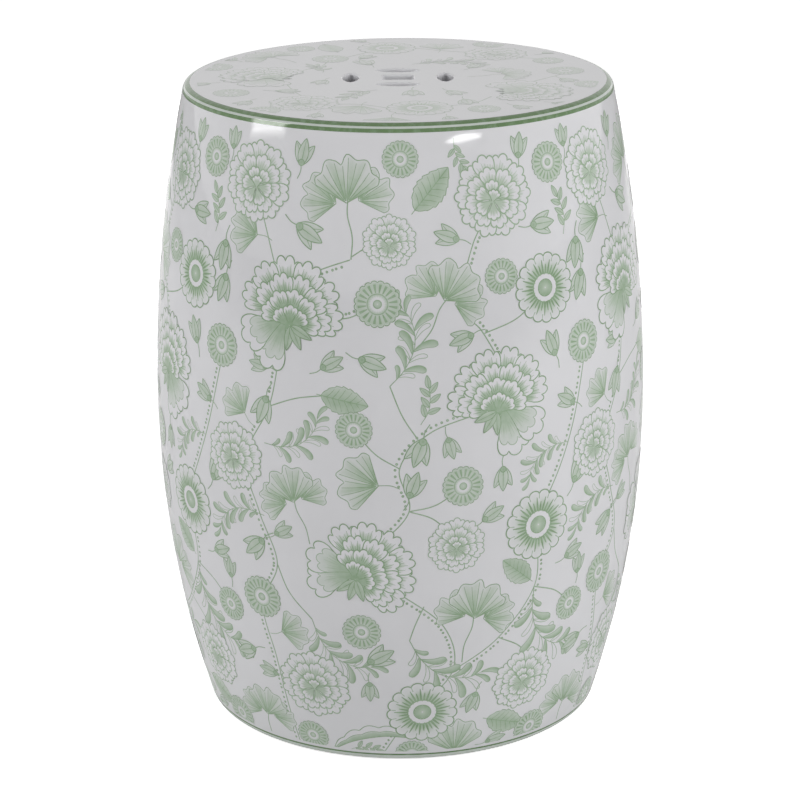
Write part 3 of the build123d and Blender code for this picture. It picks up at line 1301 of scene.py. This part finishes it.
def studio_floor():
    mesh = bpy.data.meshes.new("studio_floor")
    corners = [(x * FLOOR_REACH, y * FLOOR_REACH, 0) for x, y in ((-1, -1), (1, -1), (1, 1), (-1, 1))]
    mesh.from_pydata(corners, [], [(0, 1, 2, 3)])
    mesh.materials.append(floor_material())
    floor = linked("studio_floor", mesh)
    floor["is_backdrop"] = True


def white_world():
    """Even studio light; straight views, reflections and glass see plain white."""
    world = bpy.data.worlds.new("white_studio")
    bpy.context.scene.world = world
    world.use_nodes = True
    nodes, links = world.node_tree.nodes, world.node_tree.links
    strength = spread(nodes, links, seen_white(nodes, links), WORLD_LIGHT, 1.0, 0, 1)
    links.new(strength, nodes["Background"].inputs["Strength"])
    nodes["Background"].inputs["Color"].default_value = (1, 1, 1, 1)


def softbox(name, shape, place, size, power, roll=0.0, mirrored=True):
    """Studio lamp that faces the middle of the stool, rolled about its axis; the glaze mirrors it or not."""
    data = bpy.data.lights.new(name, "AREA")
    data.shape = shape
    data.size, data.size_y = size
    data.energy = power
    lamp = linked(name, data)
    lamp.visible_glossy = mirrored
    away = Vector(place) - Vector((0, 0, HEIGHT / 2))
    facing = away.to_track_quat("Z", "Y").to_matrix().to_4x4()
    lamp.matrix_world = Matrix.Translation(place) @ facing @ Matrix.Rotation(math.radians(roll), 4, "Z")


def left_softbox():
    """Softbox whose panels lie one behind the other and grow, so that its edge fades."""
    power = LEFT_POWER / len(LEFT_PANELS)
    for number, size in enumerate(LEFT_PANELS, 1):
        place = Vector(LEFT_SOFTBOX) * (1 + PANEL_GAP * number)
        softbox(f"left_panel_{number}", "RECTANGLE", place, size, power, LEFT_ROLL)


def camera():
    data = bpy.data.cameras.new("camera")
    data.lens = CAMERA_LENS
    data.sensor_width = SENSOR_WIDTH
    item = linked("camera", data)
    tilt = Matrix.Rotation(math.radians(90 - CAMERA_PITCH), 4, "X")
    roll = Matrix.Rotation(math.radians(CAMERA_ROLL), 4, "Z")
    item.matrix_world = Matrix.Translation(CAMERA_PLACE) @ tilt @ roll
    bpy.context.scene.camera = item


glaze = glaze_material()
glazed_wall(glaze)
glazed_seat(glaze)
glazed_foot(glaze)
printed_pattern(glaze)
bands = [(*UPPER_BAND, BAND_TONE), (UPPER_BAND[1], LOWER_BAND[0], STRIP_TONE), (*LOWER_BAND, BAND_TONE)]
painted_rings("painted_bands", "shoulder", bands, glaze)
painted_rings("painted_foot_line", "foot", [(0, FOOT_LINE[0], STRIP_TONE), (*FOOT_LINE, BAND_TONE)], glaze)
felt = felt_material()
for pad_number in range(1, 5):
    felt_pad(pad_number, felt)
studio_floor()
white_world()
left_softbox()
softbox("right_softbox", "ELLIPSE", RIGHT_SOFTBOX, RIGHT_SIZE, RIGHT_POWER, mirrored=False)
softbox("back_softbox", "ELLIPSE", BACK_SOFTBOX, BACK_SIZE, BACK_POWER, mirrored=False)
softbox("strip_lamp", "ELLIPSE", STRIP_LAMP, STRIP_SIZE, STRIP_POWER, STRIP_ROLL)
camera()
bpy.context.scene.view_settings.view_transform = "Standard"

boxes = {"cad": cad_box, "visual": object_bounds()}
{name: [list(corner) for corner in box] for name, box in boxes.items()}
